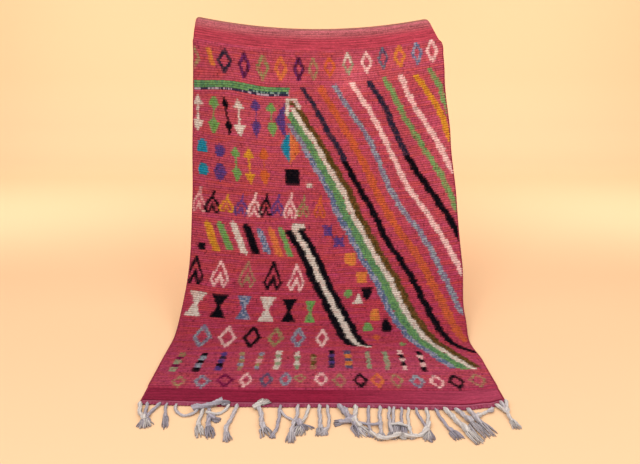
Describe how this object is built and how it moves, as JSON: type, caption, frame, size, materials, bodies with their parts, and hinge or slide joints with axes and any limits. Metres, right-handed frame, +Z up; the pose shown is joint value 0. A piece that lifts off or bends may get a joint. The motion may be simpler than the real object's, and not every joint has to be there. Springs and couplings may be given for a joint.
{
  "type": "boujaad rug",
  "caption": "Hand-knotted wool pile rug hung by its top edge, its lower end and knotted cotton warp fringe lying forward on the floor.",
  "frame": {"origin": "on the floor, under the middle of the whole object's box", "axes": "+Z up, pile side facing -Y and up, fringe pointing to -Y, +X to the right seen from the pile side"},
  "size_m": [1.5368, 1.9577, 1.597],
  "materials": {
    "dyed_wool": "hand-knotted wool pile, matt",
    "cotton_warp": "plied undyed cotton, matt"
  },
  "bodies": {
    "root": {"rug": "dyed_wool", "fringe": "cotton_warp"}
  },
  "joints": []
}
